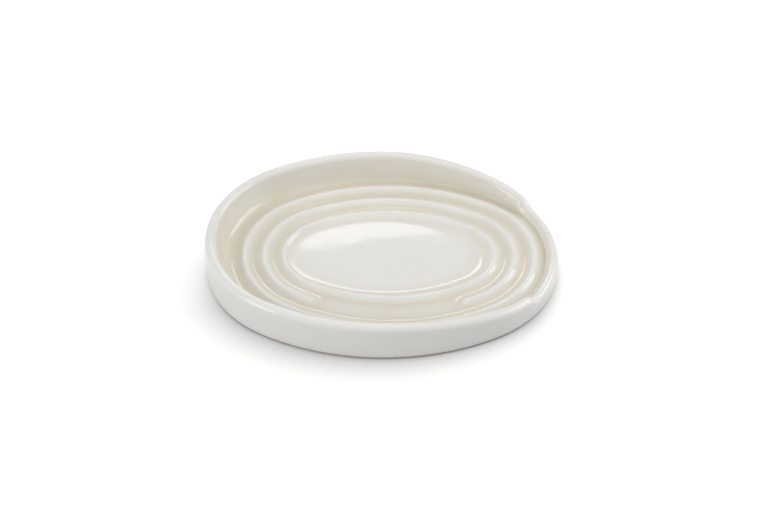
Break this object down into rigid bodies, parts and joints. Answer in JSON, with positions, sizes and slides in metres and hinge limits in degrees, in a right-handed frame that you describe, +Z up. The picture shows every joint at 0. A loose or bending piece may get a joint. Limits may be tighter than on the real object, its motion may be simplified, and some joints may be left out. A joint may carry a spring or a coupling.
{
  "type": "spoon rest",
  "caption": "Oval glazed stoneware spoon rest with ripple ridges round a flat well, a wall that slopes down towards one end and a low gap there for the spoon's handle.",
  "frame": {"origin": "on the table, under the middle of the oval", "axes": "+X along the oval towards the handle gap, +Z up"},
  "size_m": [0.15, 0.1146, 0.0176],
  "materials": {
    "glaze": "gloss",
    "biscuit": "matte"
  },
  "bodies": {
    "root": {"stoneware_body": "biscuit", "outer_glaze": "glaze", "underside_glaze": "glaze"}
  },
  "joints": []
}
